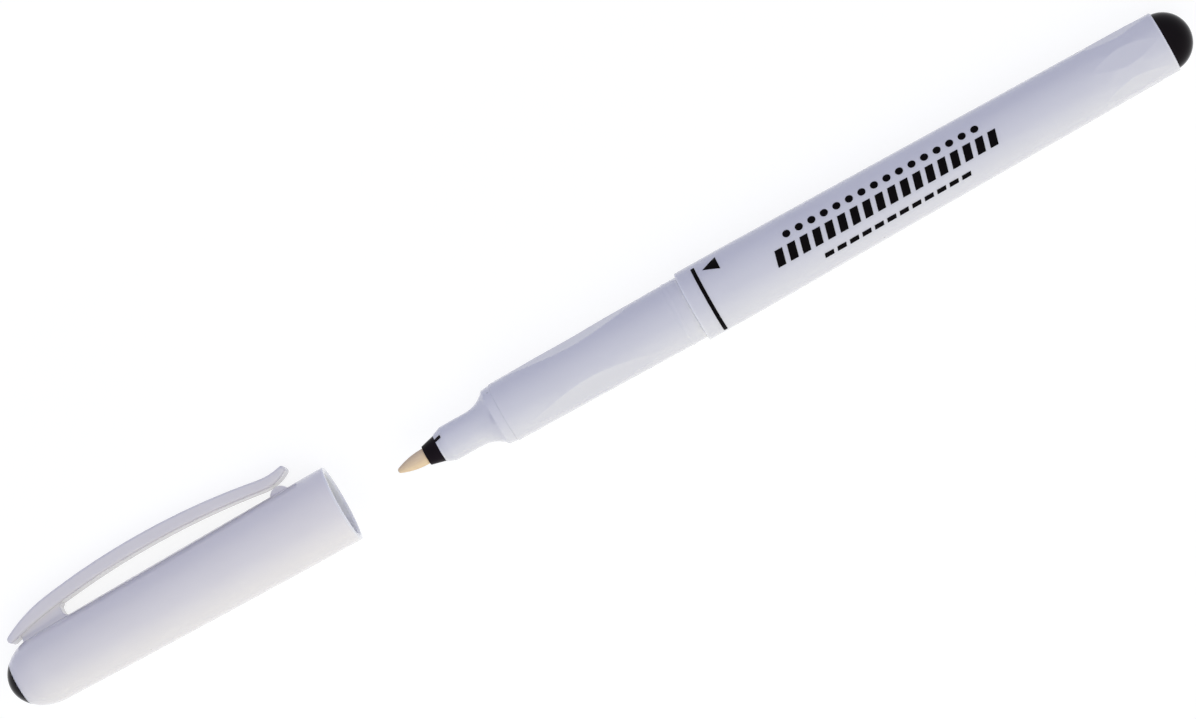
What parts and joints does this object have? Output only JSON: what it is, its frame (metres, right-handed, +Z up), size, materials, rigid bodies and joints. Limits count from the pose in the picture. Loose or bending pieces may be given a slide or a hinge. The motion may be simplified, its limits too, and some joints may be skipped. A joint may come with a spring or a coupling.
{
  "type": "uv invisible ink pen",
  "caption": "Slim white invisible-ink marker with a bullet fibre nib, a hollowed grip and black end plugs, lying with its pulled-off clip cap in line.",
  "frame": {"origin": "on the pen's axis, in the middle of the barrel's straight land behind the shoulder where the cap stops", "axes": "+X along the pen towards its nib and on to the cap, +Z up from the surface it lies on"},
  "size_m": [0.2003, 0.0165, 0.0122],
  "materials": {
    "white_plastic": "satin moulded polypropylene",
    "black_plastic": "glossy moulded polypropylene",
    "nib_fibre": "bonded polyester fibre",
    "reservoir_fibre": "bundled fibre soaked in clear ink",
    "film": "thin clear film",
    "seal_plastic": "natural polyethylene"
  },
  "bodies": {
    "pen": {"barrel": "white_plastic", "grip_section": "white_plastic", "nib_holder": "black_plastic", "nib": "nib_fibre", "ink_reservoir": "reservoir_fibre", "reservoir_film": "film", "tail_plug": "black_plastic"},
    "cap": {"cap_shell": "white_plastic", "inner_cap": "seal_plastic", "cap_plug": "black_plastic"},
    "clip": {"pocket_clip": "white_plastic"}
  },
  "joints": [
    {"name": "cap_slide", "type": "slide", "parent": "pen", "child": "cap", "axis": [-1, 0, 0], "range_m": [0, 0.0594]},
    {"name": "clip_flex", "type": "hinge", "parent": "cap", "child": "clip", "pos_m": [0.11655, -0.00568, -0.00259], "axis": [0, -0.4147, 0.91], "range_deg": [0, 3], "stiffness_Nm_per_rad": 1.5}
  ]
}
